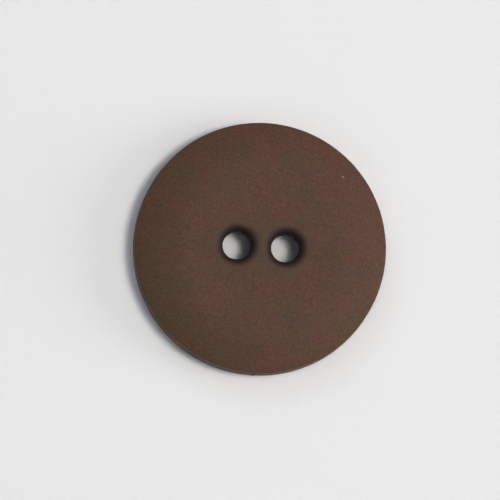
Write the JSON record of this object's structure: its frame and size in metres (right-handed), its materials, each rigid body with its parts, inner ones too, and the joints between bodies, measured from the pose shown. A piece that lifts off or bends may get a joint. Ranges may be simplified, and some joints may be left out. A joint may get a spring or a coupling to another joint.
{
  "type": "sew-on button",
  "caption": "Round sew-on garment button in matte brown plastic: flat face with a rounded shoulder, thread holes with soft rounded mouths, flat back.",
  "frame": {"origin": "middle of the flat back, on the button's axis, midway between the thread holes", "axes": "+Z out through the face, +X along the line from one thread hole to the other, -Y towards the gate mark on the rim"},
  "size_m": [0.02, 0.02, 0.0031],
  "materials": {
    "button_plastic": "dark brown, fine matte moulded surface"
  },
  "bodies": {
    "root": {"button": "button_plastic"}
  },
  "joints": []
}
